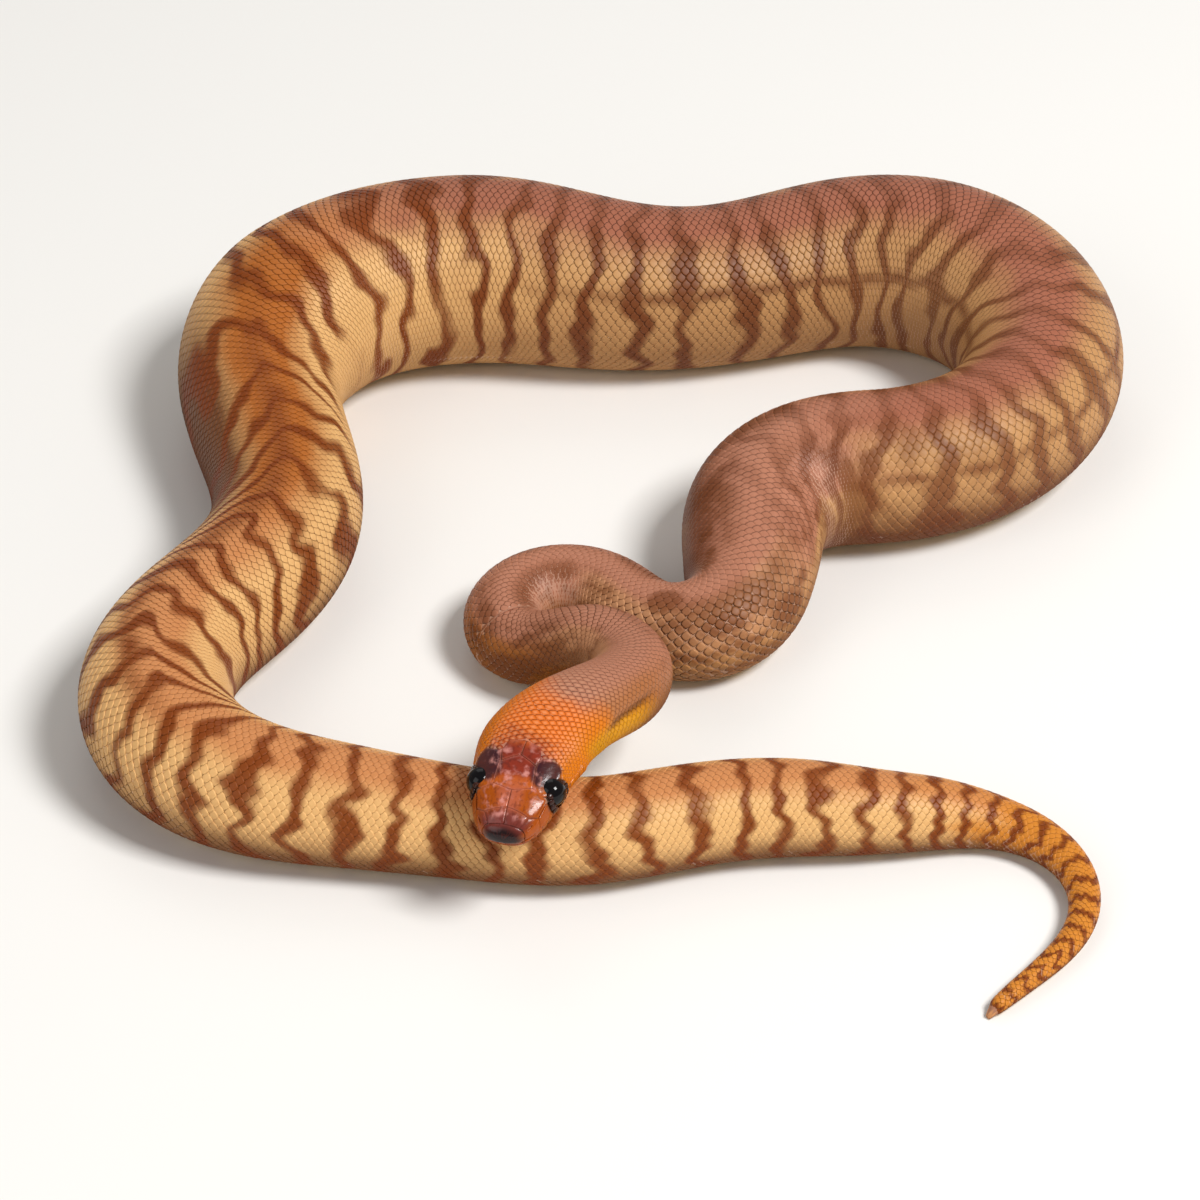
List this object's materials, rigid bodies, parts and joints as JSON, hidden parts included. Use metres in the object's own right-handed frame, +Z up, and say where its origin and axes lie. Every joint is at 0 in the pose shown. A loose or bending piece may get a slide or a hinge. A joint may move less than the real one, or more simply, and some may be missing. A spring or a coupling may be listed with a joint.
{
  "type": "coiled python snake",
  "caption": "Young woma python, life size, lying still in loose coils with its chin resting on its own flank; banded scaly skin, orange head, glossy dark eyes.",
  "frame": {"origin": "on the ground, under the middle of the whole animal's box", "axes": "+Z up; the head faces -Y; the animal's left side is towards +X at the head"},
  "size_m": [0.1621, 0.1841, 0.0304],
  "materials": {
    "scaly_skin": "small smooth overlapping scales with a soft sheen, cream to tan with narrow red-brown bands",
    "head_plates": "glossy plates and fine scales, bright orange with a red-brown crown and dark patches over the eyes",
    "eye": "wet, glossy, near-black eye under a clear scale"
  },
  "bodies": {
    "root": {"head": "head_plates", "lower_jaw": "head_plates", "eye_left": "eye", "eye_right": "eye", "neck": "scaly_skin", "trunk_1": "scaly_skin", "trunk_2": "scaly_skin", "trunk_3": "scaly_skin", "trunk_4": "scaly_skin", "trunk_5": "scaly_skin", "trunk_6": "scaly_skin", "trunk_7": "scaly_skin", "trunk_8": "scaly_skin", "tail": "scaly_skin"}
  },
  "joints": []
}
